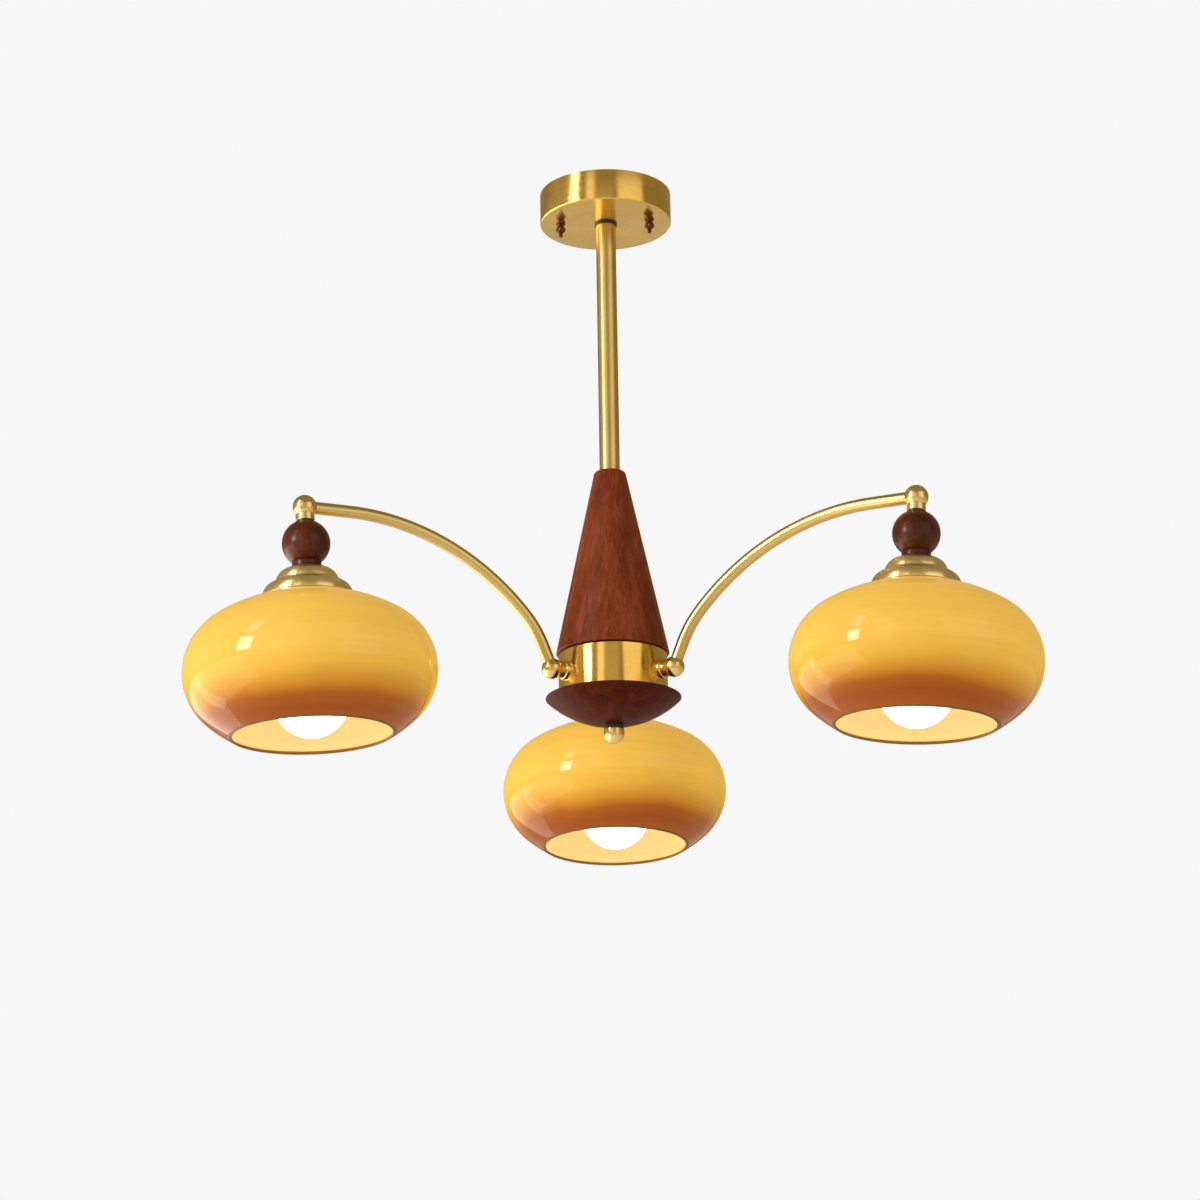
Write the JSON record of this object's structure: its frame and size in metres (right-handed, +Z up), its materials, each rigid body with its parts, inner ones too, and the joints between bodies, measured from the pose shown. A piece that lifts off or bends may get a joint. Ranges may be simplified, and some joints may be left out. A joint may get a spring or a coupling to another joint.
{
  "type": "multi arm chandelier",
  "caption": "Ceiling chandelier with a brass canopy, stem and curved arms, a turned wooden cone, beads and bowl, and blown amber glass shades over globe bulbs.",
  "frame": {"origin": "centre of the ceiling bracket's slots, on the ceiling plane, on the stem's axis", "axes": "+Z up along the stem, the first arm points to the back along +Y, and the slots run along X"},
  "size_m": [0.6738, 0.6104, 0.5151],
  "materials": {
    "brushed_brass": "brushed satin",
    "polished_brass": "polished",
    "cap_brass": "spun satin",
    "earth_brass": "turned",
    "dark_bronze": "dark bronze lacquer",
    "zinc_steel": "zinc plated",
    "base_metal": "rolled",
    "walnut": "satin lacquer, upright grain",
    "dark_walnut": "satin lacquer",
    "amber_glass": "glossy, cased, graded to brown near the rim",
    "opal_glass": "opal",
    "lampholder_plastic": "moulded",
    "terminal_plastic": "moulded",
    "cable_sheath": "smooth sheath"
  },
  "bodies": {
    "hub": {"ceiling_bracket": "zinc_steel", "canopy_studs": "zinc_steel", "flange_screws": "zinc_steel", "stem_flange": "zinc_steel", "earth_screw": "earth_brass", "terminal_block": "terminal_plastic", "stem": "brushed_brass", "stem_bush": "zinc_steel", "feed_cable": "cable_sheath", "wood_cone": "walnut", "hub_drum": "polished_brass", "hub_rod": "zinc_steel", "rod_nut": "zinc_steel", "arm_nuts": "zinc_steel", "rosettes": "polished_brass", "wire_splices": "terminal_plastic"},
    "canopy": {"canopy": "brushed_brass"},
    "canopy_nut_1": {"canopy_nut_1": "dark_bronze"},
    "canopy_nut_2": {"canopy_nut_2": "dark_bronze"},
    "bowl": {"bottom_bowl": "dark_walnut"},
    "finial": {"finial": "polished_brass"},
    "arm_1": {"hub_elbow_1": "polished_brass", "arm_tube_1": "polished_brass", "tip_ball_1": "polished_brass", "wood_bead_1": "dark_walnut", "shade_cap_1": "cap_brass", "nipple_1": "zinc_steel", "lampholder_1": "lampholder_plastic", "arm_lead_1": "cable_sheath"},
    "shade_1": {"glass_shade_1": "amber_glass", "shade_ring_1": "lampholder_plastic"},
    "bulb_1": {"bulb_globe_1": "opal_glass", "bulb_base_1": "base_metal"},
    "arm_2": {"hub_elbow_2": "polished_brass", "arm_tube_2": "polished_brass", "tip_ball_2": "polished_brass", "wood_bead_2": "dark_walnut", "shade_cap_2": "cap_brass", "nipple_2": "zinc_steel", "lampholder_2": "lampholder_plastic", "arm_lead_2": "cable_sheath"},
    "shade_2": {"glass_shade_2": "amber_glass", "shade_ring_2": "lampholder_plastic"},
    "bulb_2": {"bulb_globe_2": "opal_glass", "bulb_base_2": "base_metal"},
    "arm_3": {"hub_elbow_3": "polished_brass", "arm_tube_3": "polished_brass", "tip_ball_3": "polished_brass", "wood_bead_3": "dark_walnut", "shade_cap_3": "cap_brass", "nipple_3": "zinc_steel", "lampholder_3": "lampholder_plastic", "arm_lead_3": "cable_sheath"},
    "shade_3": {"glass_shade_3": "amber_glass", "shade_ring_3": "lampholder_plastic"},
    "bulb_3": {"bulb_globe_3": "opal_glass", "bulb_base_3": "base_metal"}
  },
  "joints": [
    {"name": "canopy_slide", "type": "slide", "parent": "hub", "child": "canopy", "axis": [0, 0, -1], "range_m": [0, 0.2]},
    {"name": "canopy_nut_1_turn", "type": "hinge", "parent": "canopy", "child": "canopy_nut_1", "pos_m": [-0.03862, -0.00543, -0.032], "axis": [0, 0, 1], "range_deg": [0, 1440]},
    {"name": "canopy_nut_2_turn", "type": "hinge", "parent": "canopy", "child": "canopy_nut_2", "pos_m": [0.0373, -0.0114, -0.032], "axis": [0, 0, 1], "range_deg": [0, 1440]},
    {"name": "arm_1_swivel", "type": "hinge", "parent": "hub", "child": "arm_1", "pos_m": [0, 0.0575, -0.4302], "axis": [0, 1, 0], "range_deg": [-20, 20]},
    {"name": "shade_1_drop", "type": "slide", "parent": "arm_1", "child": "shade_1", "axis": [0, -0.0471, -0.9989], "range_m": [0, 0.03]},
    {"name": "bulb_1_out", "type": "slide", "parent": "arm_1", "child": "bulb_1", "axis": [0, -0.0471, -0.9989], "range_m": [0, 0.12]},
    {"name": "arm_2_swivel", "type": "hinge", "parent": "hub", "child": "arm_2", "pos_m": [-0.0498, -0.02875, -0.4302], "axis": [-0.866, -0.5, 0], "range_deg": [-20, 20]},
    {"name": "shade_2_drop", "type": "slide", "parent": "arm_2", "child": "shade_2", "axis": [0.0408, 0.0236, -0.9989], "range_m": [0, 0.03]},
    {"name": "bulb_2_out", "type": "slide", "parent": "arm_2", "child": "bulb_2", "axis": [0.0408, 0.0236, -0.9989], "range_m": [0, 0.12]},
    {"name": "arm_3_swivel", "type": "hinge", "parent": "hub", "child": "arm_3", "pos_m": [0.0498, -0.02875, -0.4302], "axis": [0.866, -0.5, 0], "range_deg": [-20, 20]},
    {"name": "shade_3_drop", "type": "slide", "parent": "arm_3", "child": "shade_3", "axis": [-0.0408, 0.0236, -0.9989], "range_m": [0, 0.03]},
    {"name": "bulb_3_out", "type": "slide", "parent": "arm_3", "child": "bulb_3", "axis": [-0.0408, 0.0236, -0.9989], "range_m": [0, 0.12]},
    {"name": "bowl_drop", "type": "slide", "parent": "hub", "child": "bowl", "axis": [0, 0, -1], "range_m": [0, 0.025]},
    {"name": "finial_turn", "type": "hinge", "parent": "bowl", "child": "finial", "pos_m": [0, 0, -0.4762], "axis": [0, 0, 1], "range_deg": [0, 1440]}
  ]
}
